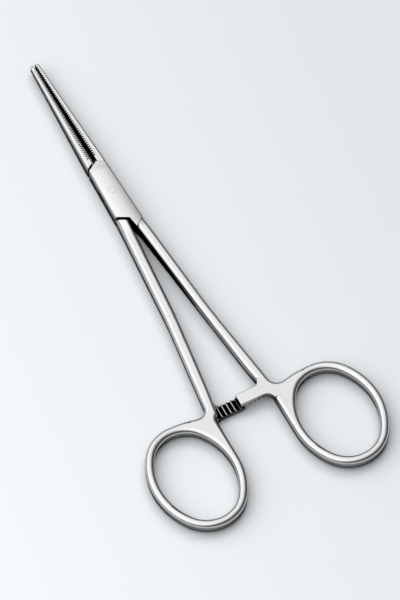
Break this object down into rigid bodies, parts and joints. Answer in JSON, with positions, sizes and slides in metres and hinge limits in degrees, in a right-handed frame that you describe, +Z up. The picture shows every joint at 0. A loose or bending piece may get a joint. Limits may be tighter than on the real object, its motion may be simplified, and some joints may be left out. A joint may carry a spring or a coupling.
{
  "type": "hemostat forceps",
  "caption": "Straight ring-handled hemostat forceps with a box lock, cross-serrated jaws and a ratchet catch, lying closed on its flat side.",
  "frame": {"origin": "bottom centre of the closed instrument, on the surface that the box rests on", "axes": "+Y towards the jaw tips, +X towards the finger ring of the box half, +Z up, along the pivot"},
  "size_m": [0.0632, 0.1404, 0.0045],
  "materials": {
    "satin_steel": "satin brushed stainless steel",
    "rivet_steel": "satin stainless steel, ground flush"
  },
  "bodies": {
    "box_side": {"box_half": "satin_steel", "joint_rivet": "rivet_steel"},
    "tongue_side": {"tongue_half": "satin_steel"}
  },
  "joints": [
    {"name": "box_lock", "type": "hinge", "parent": "box_side", "child": "tongue_side", "pos_m": [0, 0.02775, 0], "axis": [0, 0, -1], "range_deg": [0, 50]}
  ]
}
